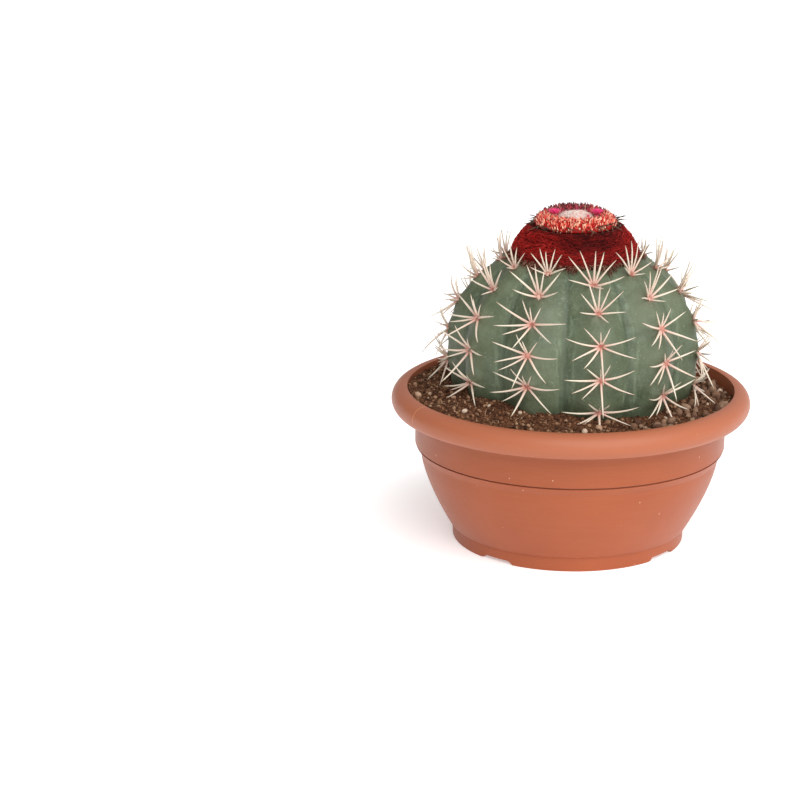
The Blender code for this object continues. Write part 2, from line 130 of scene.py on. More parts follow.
class Finish:
    """A Principled material, built node by node."""

    def __init__(self, name, roughness, gloss):
        self.material = bpy.data.materials.new(name)
        self.material.use_nodes = True
        self.tree = self.material.node_tree
        self.shader = self.tree.nodes["Principled BSDF"]
        self.shader.inputs["Roughness"].default_value = roughness
        self.shader.inputs["Specular IOR Level"].default_value = gloss
        self.tone = None

    def node(self, kind, settings=None, sockets=None, output=0):
        """Adds a node, sets it up, fills or links its sockets, and returns one output."""
        node = self.tree.nodes.new(kind)
        for key, value in (settings or {}).items():
            if key == "stops":
                self.set_stops(node.color_ramp, value)
            else:
                setattr(node, key, value)
        for key, value in (sockets or {}).items():
            self.plug(node.inputs[key], value)
        return Socket(self, node.outputs[output])

    def set_stops(self, ramp, stops):
        """Sets the places and the colours, or greys, of a ramp."""
        while len(ramp.elements) < len(stops):
            ramp.elements.new(0.5)
        for element, (place, colour) in zip(ramp.elements, stops):
            element.position = place
            element.color = tint(colour) if isinstance(colour, str) else (colour, colour, colour, 1.0)

    def plug(self, socket, value):
        """Links an output to a socket, or sets the socket to a value or a colour code."""
        if isinstance(value, Socket):
            self.tree.links.new(value.output, socket)
        else:
            socket.default_value = tint(value) if isinstance(value, str) else value

    def feed(self, name, value):
        """Links or sets a socket of the shader."""
        self.plug(self.shader.inputs[name], value)

    def place(self, scale=(1.0, 1.0, 1.0)):
        """Object coordinates, stretched."""
        spot = self.node("ShaderNodeTexCoord", output=3)
        return self.node("ShaderNodeMapping", {}, {"Vector": spot, "Scale": scale})

    def clouds(self, size, detail=3.0, roughness=0.55, stretch=(1.0, 1.0, 1.0)):
        """Noise from 0 to 1 whose blotches are about this size in metres."""
        sockets = {"Vector": self.place(stretch), "Scale": 1.0 / size, "Detail": detail}
        sockets["Roughness"] = roughness
        return self.node("ShaderNodeTexNoise", {}, sockets)

    def ramp(self, value, *stops):
        """A number led through stops of (place, colour or grey)."""
        return self.node("ShaderNodeValToRGB", {"stops": stops}, {0: value})

    def blend(self, share, first, second):
        """One colour turned into another by a share."""
        return self.node("ShaderNodeMix", {"data_type": "RGBA"}, {0: share, 6: first, 7: second}, output=2)

    def paint(self, tone):
        """Makes a colour the finish's tone."""
        self.tone = tone
        self.feed("Base Color", tone)

    def shades(self, name, *stops):
        """Takes the tone from a number stored on the mesh."""
        self.paint(self.ramp(self.attribute(name), *stops))

    def coat(self, share, colour):
        """Covers a share of the tone so far with a colour."""
        self.paint(self.blend(share, self.tone, colour))

    def weather(self, blotch, share, colour, pit, depth):
        """Veils the tone in blotches and pits the surface, all sizes in metres."""
        self.coat(self.clouds(blotch) * share, colour)
        self.bump(self.clouds(pit), depth)

    def attribute(self, name):
        """A number stored on the mesh."""
        return self.node("ShaderNodeAttribute", {"attribute_name": name}, output=2)

    def bump(self, height, distance):
        """Roughens the surface by a height pattern whose full range is a distance in metres."""
        sockets = {"Height": height, "Distance": distance, "Strength": 1.0}
        self.feed("Normal", self.node("ShaderNodeBump", {}, sockets))


def tint(code):
    """Linear colour from a hexadecimal one."""
    parts = [int(code[place:place + 2], 16) / 255 for place in (0, 2, 4)]
    return (*[part / 12.92 if part <= 0.04045 else ((part + 0.055) / 1.055) ** 2.4 for part in parts], 1.0)


def clamped(number):
    """The number, kept between 0 and 1."""
    return min(max(number, 0.0), 1.0)


def upward(height):
    """A vector straight up."""
    return Vector((0.0, 0.0, height))


def arc(centre, half_width, half_height, start, end, count):
    """Points along an elliptical arc in the section plane."""
    angles = [start + (end - start) * step / count for step in range(count + 1)]
    return [(centre[0] + half_width * math.cos(a), centre[1] + half_height * math.sin(a)) for a in angles]


def softened(points, cut):
    """Rounds every sharp corner of a section line with a short curve."""
    line = [Vector(point) for point in points]
    soft = [line[0]]
    for before, corner, after in zip(line, line[1:], line[2:]):
        back = before - corner
        ahead = after - corner
        if back.angle(ahead) > math.radians(160):
            soft.append(corner)
            continue
        reach = min(cut, back.length * 0.4, ahead.length * 0.4)
        start = corner + back.normalized() * reach
        end = corner + ahead.normalized() * reach
        for share in (0.0, 0.25, 0.5, 0.75, 1.0):
            soft.append(start.lerp(corner, share).lerp(corner.lerp(end, share), share))
    soft.append(line[-1])
    return [tuple(point) for point in soft]


def spun(profile, steps):
    """A bmesh turned about Z from a line of (radius, height) points."""
    shape = bmesh.new()
    chain = [shape.verts.new((radius, 0.0, height)) for radius, height in profile]
    for upper, lower in zip(chain, chain[1:]):
        shape.edges.new((upper, lower))
    line = shape.verts[:] + shape.edges[:]
    bmesh.ops.spin(
        shape, geom=line, cent=(0, 0, 0), axis=(0, 0, 1), angle=math.tau, steps=steps, use_merge=True
    )
    bmesh.ops.remove_doubles(shape, verts=shape.verts[:], dist=0.000001)
    bmesh.ops.recalc_face_normals(shape, faces=shape.faces[:])
    return shape


def placed(name, mesh, finish, sharp=None):
    """Makes an object of a mesh or a bmesh, shaded smooth up to the sharp angle."""
    if isinstance(mesh, bmesh.types.BMesh):
        shape = mesh
        mesh = bpy.data.meshes.new(name)
        shape.to_mesh(mesh)
        shape.free()
    mesh.materials.clear()
    mesh.materials.append(finish.material)
    mesh.shade_smooth()
    if sharp:
        mesh.set_sharp_from_angle(angle=math.radians(sharp))
    piece = bpy.data.objects.new(name, mesh)
    bpy.context.scene.collection.objects.link(piece)
    return piece


def store(mesh, name, values):
    """Stores one number for each vertex, or the same for all."""
    layer = mesh.attributes.new(name, "FLOAT", "POINT")
    layer.data.foreach_set("value", np.full(len(mesh.vertices), values, np.float32))


def belly_radius(height):
    """Outer radius of the bellied wall between the foot and the shoulder."""
    share = (height - FOOT_HEIGHT) / (BELLY_TOP - FOOT_HEIGHT)
    swell = 1 - (1 - share) ** BELLY_FULLNESS
    return BELLY_START_RADIUS + (BELLY_TOP_RADIUS - BELLY_START_RADIUS) * swell


def belly_heights(count):
    """Heights spread over the bellied wall, bottom to top."""
    return [FOOT_HEIGHT + (BELLY_TOP - FOOT_HEIGHT) * step / count for step in range(count + 1)]


def inner_wall():
    """Inside of the bowl from the floor's edge up to under the rolled rim."""
    points = [(FOOT_RADIUS - WALL - 0.0015, FLOOR_TOP)]
    points += [(belly_radius(height) - WALL, height + WALL / 2) for height in belly_heights(12)]
    return points + [
        (BAND_RADIUS - WALL, BAND_BOTTOM + WALL / 2),
        (BAND_RADIUS - WALL, RIM_TOP - BAND_BELOW_RIM),
        (RIM_RADIUS - SHOULDER_INSIDE_RIM - WALL, RIM_TOP - SHOULDER_BELOW_RIM + WALL / 2),
        (RIM_RADIUS - NECK_INSIDE_RIM - WALL, RIM_TOP - NECK_BELOW_RIM + WALL / 2),
    ]


def bowl_section():
    """Half section of the bowl: inside floor and wall, rim, outside wall, foot, underside."""
    centre = (RIM_RADIUS - ROLL_HALF_WIDTH, RIM_TOP - ROLL_HALF_HEIGHT)
    inside = (ROLL_HALF_WIDTH - WALL, ROLL_HALF_HEIGHT - WALL)
    section = [(0.0, FLOOR_TOP), (DRAIN_CIRCLE, FLOOR_TOP)] + inner_wall()
    neck_angle = math.acos((ROLL_HALF_WIDTH - NECK_INSIDE_RIM) / inside[0])
    section += arc(centre, ROLL_HALF_WIDTH, ROLL_HALF_HEIGHT, ROLL_INNER_ANGLE, SKIRT_ANGLE, 30)
    section += arc(centre, *inside, SKIRT_ANGLE, neck_angle, 14)
    section += [
        (RIM_RADIUS - NECK_INSIDE_RIM, RIM_TOP - NECK_BELOW_RIM),
        (RIM_RADIUS - SHOULDER_INSIDE_RIM, RIM_TOP - SHOULDER_BELOW_RIM),
        (BAND_RADIUS, RIM_TOP - BAND_BELOW_RIM),
        (BAND_RADIUS, BAND_BOTTOM),
        (BAND_RADIUS - UNDERCUT_DEPTH, BAND_BOTTOM - 0.0001),
        (BAND_RADIUS - UNDERCUT_DEPTH, BAND_BOTTOM - UNDERCUT_HEIGHT),
        (BAND_RADIUS - 0.0004, BAND_BOTTOM - UNDERCUT_HEIGHT - 0.0001),
    ]
    section += [(belly_radius(height), height) for height in reversed(belly_heights(14))]
    section.append((FOOT_RADIUS + 0.0002, FOOT_HEIGHT - 0.0006))
    section += [(FOOT_RADIUS, 0.0), (FOOT_RADIUS - FOOT_WIDTH, 0.0), (FOOT_RADIUS - FOOT_WIDTH, FLOOR_RISE)]
    section += [(DRAIN_CIRCLE, FLOOR_RISE), (0.0, FLOOR_RISE)]
    return softened(section, 0.0007)


def cut_notches(shape):
    """Lifts the foot's edge where the four drainage notches are."""
    for vert in shape.verts:
        if vert.co.z > 0.0009 or vert.co.xy.length < FOOT_RADIUS - FOOT_WIDTH - 0.001:
            continue
        azimuth = math.atan2(vert.co.x, -vert.co.y) - NOTCH_TURN
        turn = math.tau / NOTCH_COUNT
        off = abs(azimuth - turn * round(azimuth / turn))
        vert.co.z += NOTCH_HEIGHT * clamped((NOTCH_HALF_ANGLE - off) / NOTCH_FLANK + 0.5)


plastic = Finish("terracotta_plastic", 0.42, 0.30)
plastic.paint(plastic.blend(plastic.clouds(0.035), "914828", "9f5330"))
streaks = plastic.clouds(0.0006, detail=3.0, stretch=(0.02, 0.02, 1.0))
plastic.coat(plastic.ramp(streaks, (0.45, 0.0), (0.75, 1.0)) * 0.12, "b06a4e")
plastic.coat(plastic.clouds(0.0012, detail=1.0) * 0.10, "b9694c")
dust = plastic.ramp(plastic.clouds(0.0024, detail=0.0), (0.86, 0.0), (0.89, 1.0))
plastic.coat(dust * 0.7, "e0b49a")
# Painted shade: the undercut under the band is painted dark brown, as the shadow line it holds.
plastic.coat(plastic.attribute("seam") * 0.5, "56251a")
spot = plastic.place()
dot = {"operation": "DOT_PRODUCT"}
off_line = plastic.node("ShaderNodeVectorMath", dot, {0: spot, 1: SCRATCH_ACROSS}, output=1)
off_line = plastic.node("ShaderNodeMath", {"operation": "ABSOLUTE"}, {0: off_line})
side = plastic.node("ShaderNodeSeparateXYZ", {}, {0: spot})
level = plastic.node("ShaderNodeSeparateXYZ", {}, {0: spot}, output=2)
# Painted highlight: the top of the bowl, round the rolled rim, is painted lighter, standing for the light
# falling from above.
rim_light = (level - (RIM_TOP - LIT_RIM_DEPTH)) * (1.0 / LIT_RIM_DEPTH)
plastic.coat(plastic.ramp(rim_light, (0.10, 0.0), (0.35, 1.0)) * 0.8, "a86346")
scratch = (off_line < SCRATCH_HALF_WIDTH) * (side < 0.0) * (level > RIM_TOP - SCRATCH_DROP)
plastic.coat(scratch * 0.7, "d48a5a")
plastic.feed("Roughness", plastic.clouds(0.02) * 0.14 + 0.36)
plastic.bump(plastic.clouds(0.0007, detail=2.0) + plastic.clouds(0.012) * 4.0 + streaks * 0.4, 0.00002)

bowl_shape = spun(bowl_section(), BOWL_STEPS)
cut_notches(bowl_shape)
bowl = placed("bowl_shell", bowl_shape, plastic, sharp=38)
# The vertices inside the undercut under the band are marked for the painted shade there.
spots = np.array([vert.co for vert in bowl.data.vertices])
radii = np.hypot(spots[:, 0], spots[:, 1])
in_undercut = np.abs(spots[:, 2] - BAND_BOTTOM + UNDERCUT_HEIGHT / 2) < UNDERCUT_HEIGHT
in_undercut &= (radii < BAND_RADIUS - 0.0006) & (radii > BAND_RADIUS - UNDERCUT_DEPTH - 0.0004)
store(bowl.data, "seam", in_undercut)
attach(bowl, "root")
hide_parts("bowl")

# ---------------------------------------------------------------- soil
# Dark peat mix that fills the bowl, firmed down around the plant, a little higher
# at the left and the front than at the right and the back. Its surface is crumbly.
SOIL_BELOW_RIM = 0.0049
SOIL_SLOPE_X = 0.030
SOIL_SLOPE_Y = 0.016
SOIL_HEAP = 0.0042
SOIL_HEAP_RADIUS = 0.0660
SOIL_LOWEST = RIM_TOP - 0.0080
SOIL_STEPS = 420
SOIL_RINGS = 60
SOIL_HOLLOW_RADIUS = 0.0560
SOIL_EDGE = RIM_RADIUS - NECK_INSIDE_RIM - WALL - 0.0004
SOIL_ROUGHNESS = 0.0011


def bell(x, y, centre_x, centre_y, reach):
    """1 at a place, falling to 0 around it."""
    return math.exp(-((x - centre_x) ** 2 + (y - centre_y) ** 2) / reach**2)


def soil_height(x, y):
    """Height of the soil at a place without its crumbs: heaped at the stem, with a few dents."""
    share = min((SOIL_EDGE - math.hypot(x, y)) / (SOIL_EDGE - SOIL_HEAP_RADIUS), 1.0)
    level = RIM_TOP - SOIL_BELOW_RIM + SOIL_HEAP * share - SOIL_SLOPE_X * x - SOIL_SLOPE_Y * y
    level += 0.0022 * bell(x, y, -0.050, -0.044, 0.030)
    level -= 0.0030 * bell(x, y, 0.028, -0.062, 0.020)
    level -= 0.0016 * bell(x, y, 0.070, 0.052, 0.035)
    return level


def soil_relief(x, y):
    """Small heaps and dents of the soil's surface."""
    spot = Vector((x, y, 0.0))
    heaps = noise.noise(spot / 0.011) * 0.7
    lumps = noise.noise(spot / 0.0035) * 0.55
    grit = abs(noise.noise(spot / 0.0012)) * 0.5
    return max(SOIL_ROUGHNESS * (heaps + lumps + grit), SOIL_LOWEST - soil_height(x, y))


def soil_section():
    """Half section of the soil: surface outwards, down the wall, over the floor, up the hollow."""
    level = RIM_TOP - SOIL_BELOW_RIM
    width = SOIL_EDGE - SOIL_HOLLOW_RADIUS
    section = [(SOIL_HOLLOW_RADIUS + width * step / SOIL_RINGS, level) for step in range(SOIL_RINGS + 1)]
    section.append((SOIL_EDGE, RIM_TOP - NECK_BELOW_RIM + WALL / 2 + 0.0003))
    section += [(radius - 0.0004, height + 0.0003) for radius, height in reversed(inner_wall()[:-1])]
    section += [(0.0, FLOOR_TOP + 0.0003), (0.0, 0.034), (0.030, 0.044), (0.049, 0.056), (0.0555, 0.070)]
    section.append((SOIL_HOLLOW_RADIUS, level))
    return section


peat = Finish("peat", 0.95, 0.15)
mottle = peat.clouds(0.0022, detail=5.0, roughness=0.7)
peat.paint(peat.ramp(mottle, (0.30, "2b1a11"), (0.52, "573623"), (0.72, "886045")))
peat.bump(peat.clouds(0.0010, detail=4.0, roughness=0.7), 0.0006)

soil_shape = spun(soil_section(), SOIL_STEPS)
soil_level = RIM_TOP - SOIL_BELOW_RIM
for vert in soil_shape.verts:
    if vert.co.z > soil_level - 0.00001:
        vert.co.z = soil_height(vert.co.x, vert.co.y) + soil_relief(vert.co.x, vert.co.y)
soil = placed("soil_bed", soil_shape, peat)
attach(soil, "root")
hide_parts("soil")

# ---------------------------------------------------------------- soil crumbs and grains
# Loose crumbs of peat, pale perlite, brown pumice and thin root fibres lie on the
# soil, the pumice at the right. Each lump has its own shape and shade.
CRUMB_COUNT = 6500
PERLITE_COUNT = 110
PUMICE_COUNT = 150
FIBRE_COUNT = 260
dice = np.random.default_rng(7)


def ball(level):
    """Mesh of a unit ball, the start of every lump."""
    shape = bmesh.new()
    bmesh.ops.create_icosphere(shape, subdivisions=level, radius=1.0)
    mesh = bpy.data.meshes.new("ball")
    shape.to_mesh(mesh)
    shape.free()
    return mesh


def copied(name, template, count):
    """A mesh that holds a template this many times, with each vertex of a template as rows."""
    source = bpy.data.objects.new(name, template)
    bpy.context.scene.collection.objects.link(source)
    array = source.modifiers.new("copies", "ARRAY")
    array.count = count
    array.use_relative_offset = False
    bpy.context.view_layer.update()
    evaluated = source.evaluated_get(bpy.context.evaluated_depsgraph_get())
    mesh = bpy.data.meshes.new_from_object(evaluated)
    bpy.data.objects.remove(source)
    corners = np.zeros(len(template.vertices) * 3)
    template.vertices.foreach_get("co", corners)
    return mesh, corners.reshape(-1, 3)


def turns(count):
    """Random rotations."""
    axes, _ = np.linalg.qr(dice.normal(size=(count, 3, 3)))
    axes[np.linalg.det(axes) < 0, :, 0] *= -1.0
    return axes


def lumps(name, level, places, sizes, roughness, finish, flatness=1.0, sharp=None):
    """A piece made of uneven lumps, flattened by a factor before each is turned at random."""
    count = len(places)
    mesh, corners = copied(name, ball(level), count)
    uneven = 1.0 + roughness * dice.uniform(-1.0, 1.0, (count, len(corners), 1))
    stretch = dice.uniform(0.7, 1.3, (count, 1, 3)) * np.array([1.0, 1.0, flatness])
    shapes = corners[None] * uneven * stretch * np.asarray(sizes)[:, None, None]
    shapes = np.einsum("nvc,ncd->nvd", shapes, turns(count)) + np.asarray(places)[:, None]
    mesh.vertices.foreach_set("co", shapes.astype(np.float32).ravel())
    store(mesh, "shade", np.repeat(dice.random(count), len(corners)))
    return placed(name, mesh, finish, sharp)


def soil_spots(count, inner, outer, first=0.0, last=math.tau):
    """Random azimuths and radii on the soil's ring."""
    azimuths = dice.uniform(first, last, count)
    radii = np.sqrt(dice.uniform(inner**2, outer**2, count))
    return azimuths, radii


def on_soil(azimuths, radii, lift):
    """Places on the soil's surface, lifted by an amount each."""
    spots = []
    for azimuth, radius, up in zip(azimuths, radii, lift):
        x = radius * math.sin(azimuth)
        y = -radius * math.cos(azimuth)
        spots.append((x, y, soil_height(x, y) + soil_relief(x, y) + up))
    return np.array(spots)


def rod(sides, parts):
    """Mesh of a closed unit rod along Z, the start of every spine and bristle."""
    shape = bmesh.new()
    bmesh.ops.create_cone(shape, cap_ends=True, segments=sides, radius1=1.0, radius2=1.0, depth=1.0)
    bmesh.ops.translate(shape, verts=shape.verts[:], vec=(0.0, 0.0, 0.5))
    for part in range(1, parts):
        whole = shape.verts[:] + shape.edges[:] + shape.faces[:]
        bmesh.ops.bisect_plane(shape, geom=whole, plane_co=(0, 0, part / parts), plane_no=(0, 0, 1))
    mesh = bpy.data.meshes.new("rod")
    shape.to_mesh(mesh)
    shape.free()
    return mesh


def unit(vectors):
    """Vectors scaled to length one."""
    return vectors / np.maximum(np.linalg.norm(vectors, axis=-1, keepdims=True), 1e-9)


def grown(name, template, strands, radii, taper, finish, **marks):
    """A piece made of rods bent along strands (foot, bow point, tip) and thinned by a taper."""
    feet, bows, tips = np.asarray(strands, float).transpose(1, 0, 2)[:, :, None]
    count = len(feet)
    mesh, corners = copied(name, template, count)
    along = corners[:, 2]
    share = along[None, :, None]
    path = feet * (1 - share) ** 2 + bows * 2 * share * (1 - share) + tips * share**2
    course = unit((bows - feet) * (1 - share) + (tips - bows) * share)
    side = unit(np.cross(course, np.array([0.31, 0.23, 0.92])))
    cross = np.cross(course, side)
    width = np.asarray(radii, float)[:, None] * taper(along)[None]
    shapes = path + side * (corners[None, :, 0] * width)[..., None]
    shapes += cross * (corners[None, :, 1] * width)[..., None]
    mesh.vertices.foreach_set("co", shapes.astype(np.float32).ravel())
    store(mesh, "along", np.tile(along, count))
    marks["shade"] = dice.random(count)
    for mark, values in marks.items():
        store(mesh, mark, np.repeat(values, len(corners)))
    return placed(name, mesh, finish)


def hair_taper(along):
    """An even hair with a blunt point."""
    return np.clip(1.0 - along, 0.05, 1.0) ** 0.5


crumb_finish = Finish("peat_crumbs", 0.95, 0.15)
crumb_finish.shades("shade", (0.0, "38241a"), (0.45, "6e4730"), (0.80, "8f6448"), (1.0, "b59272"))
crumb_finish.weather(0.0008, 0.6, "3a2417", 0.0005, 0.0003)
crumb_sizes = 0.00028 + 0.0008 * dice.random(CRUMB_COUNT) ** 2.2
crumb_places = on_soil(*soil_spots(CRUMB_COUNT, 0.0600, SOIL_EDGE), crumb_sizes * 0.3)
crumbs = lumps("soil_crumbs", 1, crumb_places, crumb_sizes, 0.25, crumb_finish, sharp=40)
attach(crumbs, "root")

perlite_finish = Finish("perlite", 0.85, 0.3)
perlite_finish.shades("shade", (0.0, "8f6a50"), (0.6, "b89a82"), (1.0, "d8c8b6"))
perlite_finish.weather(0.0009, 0.5, "a37452", 0.0005, 0.0003)
perlite_sizes = 0.0003 + 0.0015 * dice.random(PERLITE_COUNT) ** 2.6
perlite_places = on_soil(*soil_spots(PERLITE_COUNT, 0.0660, SOIL_EDGE - 0.001), perlite_sizes * 0.45)
perlite = lumps("perlite_grains", 2, perlite_places, perlite_sizes, 0.12, perlite_finish)
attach(perlite, "root")

pumice_finish = Finish("pumice", 0.9, 0.25)
pumice_finish.shades("shade", (0.0, "4b3325"), (0.5, "80604a"), (1.0, "a98a72"))
pumice_finish.weather(0.0014, 0.7, "54382a", 0.0007, 0.0004)
pumice_sizes = 0.0010 + 0.0019 * dice.random(PUMICE_COUNT)
pumice_spots = soil_spots(PUMICE_COUNT, 0.0690, SOIL_EDGE - 0.002, math.radians(22), math.radians(150))
pumice_places = on_soil(*pumice_spots, pumice_sizes * 0.4)
pumice = lumps("pumice_stones", 2, pumice_places, pumice_sizes, 0.14, pumice_finish, 0.75)
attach(pumice, "root")

fibre_finish = Finish("root_fibres", 0.9, 0.2)
fibre_finish.shades("shade", (0.0, "2e1a10"), (0.6, "6e4a33"), (1.0, "c9ab8c"))
dice, later_dice = np.random.default_rng(19), dice
azimuths, radii = soil_spots(FIBRE_COUNT, 0.0685, SOIL_EDGE - 0.003)
feet = on_soil(azimuths, radii, np.full(FIBRE_COUNT, 0.0002))
headings = dice.uniform(0.0, math.tau, FIBRE_COUNT)
lengths = dice.uniform(0.0020, 0.0080, FIBRE_COUNT)
ends = feet[:, :2] + np.stack([np.cos(headings), np.sin(headings)], axis=1) * lengths[:, None]
radii = np.clip(np.hypot(ends[:, 0], ends[:, 1]), 0.0675, SOIL_EDGE - 0.002)
tips = on_soil(np.arctan2(ends[:, 0], -ends[:, 1]), radii, dice.uniform(0.0002, 0.0012, FIBRE_COUNT))
bows = (feet + tips) / 2 + dice.uniform(-0.0007, 0.0012, (FIBRE_COUNT, 3)) + (0.0, 0.0, 0.0005)
strands = np.stack([feet, bows, tips], axis=1)
radii = dice.uniform(0.00008, 0.00020, FIBRE_COUNT)
fibres = grown("root_fibres", rod(3, 5), strands, radii, hair_taper, fibre_finish)
dice = later_dice
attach(fibres, "root")

# ---------------------------------------------------------------- stem
# One grown body with eleven ribs: broad flanks, blunt crests that swell under each
# areole, and narrow grooves. Its skin is thick, matt and waxy. The base is buried.
PLANT_X = sum(corner.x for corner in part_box("cephalium_felt")) / 2
RIB_COUNT = 11
FIRST_CREST = math.radians(-57.3)
WAIST_RADIUS = 0.0690
WAIST_HEIGHT = RIM_TOP + 0.0270
DOME_HEIGHT = 0.0550
BODY_DEPTH = 0.0620
BODY_SQUARENESS = 2.6
GROOVE_DEPTH = 0.0070
GROOVE_SHARPNESS = 1.25
CREST_FLATNESS = 0.06
ROOT_RADIUS = 0.0110
ROOT_DEPTH = 0.0180
STEM_STEPS = RIB_COUNT * 30
ROW_COUNT = 5
ROW_PITCH = 0.0186
ROW_CROWDING = 0.0002
RIB_ROW_SHIFTS = (
    -0.0148, -0.0100, -0.0234, -0.0180, -0.0210,
    -0.0120, -0.0170, -0.0220, -0.0150, -0.0200, -0.0110,
)
CREST_STEP = 0.0002
SWELLING = 0.0013
SWELLING_REACH = 0.0068

CROWN_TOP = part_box("cactus_stem")[1].z
felt_low, felt_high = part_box("cephalium_felt")
FELT_BASE_RADIUS = (felt_high.x - felt_low.x) / 2
CROWN_RADIUS = FELT_BASE_RADIUS + 0.0005


def towards(azimuth):
    """The level unit vector at an azimuth, counted from the front towards the right."""
    return Vector((math.sin(azimuth), -math.cos(azimuth), 0.0))


def on_axis(height):
    """A point on the plant's axis."""
    return Vector((PLANT_X, 0.0, height))


def body_radius(height):
    """Radius of the rib crests at a height."""
    if height >= WAIST_HEIGHT:
        share = min((height - WAIST_HEIGHT) / DOME_HEIGHT, 1.0)
        return WAIST_RADIUS * math.sqrt(1.0 - share * share)
    share = min((WAIST_HEIGHT - height) / BODY_DEPTH, 1.0)
    return WAIST_RADIUS * (1.0 - share**BODY_SQUARENESS) ** (1.0 / BODY_SQUARENESS)


def slope_share(height):
    """How much a step along a crest climbs at a height, 0 to 1."""
    spread = (body_radius(height + 0.0001) - body_radius(height - 0.0001)) / 0.0002
    return 1.0 / math.sqrt(1.0 + spread * spread)


def groove_share(azimuth):
    """0 on a rib's crest, 1 in the groove between two ribs."""
    turn = (azimuth - FIRST_CREST) * RIB_COUNT / math.tau
    return abs(turn - round(turn)) * 2.0


def groove_depth(height):
    """Depth of the grooves, which run out at the crown and at the base."""
    fade_up = clamped((CROWN_TOP + 0.004 - height) / 0.030)
    fade_down = clamped((height - WAIST_HEIGHT + BODY_DEPTH) / 0.020)
    return GROOVE_DEPTH * fade_up**0.6 * fade_down


def row_place(rib, row):
    """Place of an areole along its crest, counted from the waist."""
    last = ROW_COUNT - 1
    start = RIB_ROW_SHIFTS[rib]
    spread = ROW_PITCH * last - ROW_CROWDING * last * last
    squeeze = min(1.0, (CREST_ROOM - start) / spread)
    return start + (ROW_PITCH * row - ROW_CROWDING * row * row) * squeeze


def crest_room():
    """Length along a crest from the waist up to the last place for an areole."""
    height = WAIST_HEIGHT
    travelled = 0.0
    while body_radius(height) > FELT_BASE_RADIUS + 0.0046:
        height += CREST_STEP * slope_share(height)
        travelled += CREST_STEP
    return travelled


def areole_frame(rib, row):
    """Placement of an areole: X across the rib, Y up the rib, Z off the skin."""
    along = row_place(rib, row)
    height = WAIST_HEIGHT
    for _ in range(round(abs(along) / CREST_STEP)):
        height += math.copysign(CREST_STEP, along) * slope_share(height)
    rise = slope_share(height)
    lean = math.copysign(math.sqrt(max(1.0 - rise * rise, 0.0)), height - WAIST_HEIGHT)
    outward = towards(FIRST_CREST + math.tau * rib / RIB_COUNT)
    up = upward(1.0)
    climb = (up * rise - outward * lean).normalized()
    normal = (outward * rise + up * lean).normalized()
    place = Matrix((climb.cross(normal), climb, normal)).transposed().to_4x4()
    place.translation = outward * body_radius(height) + on_axis(height)
    return place


CREST_ROOM = crest_room()
AREOLES = {
    (rib, row): areole_frame(rib, row)
    for rib in range(RIB_COUNT)
    for row in range(-1, ROW_COUNT)
}


def stem_section():
    """Crest line of the stem from the middle of the crown down to the root's end."""
    bottom = WAIST_HEIGHT - BODY_DEPTH
    start = math.asin((CROWN_TOP - WAIST_HEIGHT) / DOME_HEIGHT)
    section = [(0.0, CROWN_TOP), (CROWN_RADIUS * 0.6, CROWN_TOP)]
    for step in range(91):
        angle = start * (1.0 - step / 90)
        section.append((WAIST_RADIUS * math.cos(angle), WAIST_HEIGHT + DOME_HEIGHT * math.sin(angle)))
    for step in range(1, 50):
        height = WAIST_HEIGHT - BODY_DEPTH * math.sin(math.pi / 2 * step / 50)
        section.append((body_radius(height), height))
    section += [(WAIST_RADIUS * 0.45, bottom), (ROOT_RADIUS, bottom - ROOT_DEPTH * 0.3)]
    section += [(ROOT_RADIUS * 0.5, bottom - ROOT_DEPTH), (0.0, bottom - ROOT_DEPTH)]
    return section


def shape_ribs(shape):
    """Draws the grooves in, swells the crests at the areoles and makes the flanks uneven."""
    centres = np.array([place.translation for place in AREOLES.values()])
    for vert in shape.verts:
        radius = vert.co.xy.length
        height = vert.co.z
        azimuth = math.atan2(vert.co.x, -vert.co.y)
        share = groove_share(azimuth)
        rounded = math.sqrt(share * share + CREST_FLATNESS**2) - CREST_FLATNESS
        rounded /= math.sqrt(1.0 + CREST_FLATNESS**2) - CREST_FLATNESS
        drawn = groove_depth(height) * rounded**GROOVE_SHARPNESS * min(radius / 0.03, 1.0)
        spot = towards(azimuth) * (radius - drawn) + on_axis(height)
        if radius > 0.02 and height < CROWN_TOP - 0.0005:
            near = np.linalg.norm(centres - np.array(spot), axis=1).min()
            swell = SWELLING * math.exp(-((near / SWELLING_REACH) ** 2))
            swell += 0.0006 * noise.noise(spot / 0.022) + 0.00016 * noise.noise(spot / 0.005)
            spot += towards(azimuth) * swell
        vert.co = spot


def skin_marks(mesh):
    """Stores how deep in a groove, and how near the soil and an areole, each point lies."""
    spots = np.array([vert.co for vert in mesh.vertices])
    centres = np.array([place.translation for place in AREOLES.values()])
    azimuths = np.arctan2(spots[:, 0] - PLANT_X, -spots[:, 1])
    store(mesh, "groove", [groove_share(azimuth) for azimuth in azimuths])
    near = np.min(np.linalg.norm(spots[:, None] - centres[None], axis=2), axis=1)
    store(mesh, "areole", np.exp(-((near / 0.006) ** 2)))
    above = spots[:, 2] - np.array([soil_height(x, y) for x, y in spots[:, :2]])
    store(mesh, "above_soil", above * 1000.0)


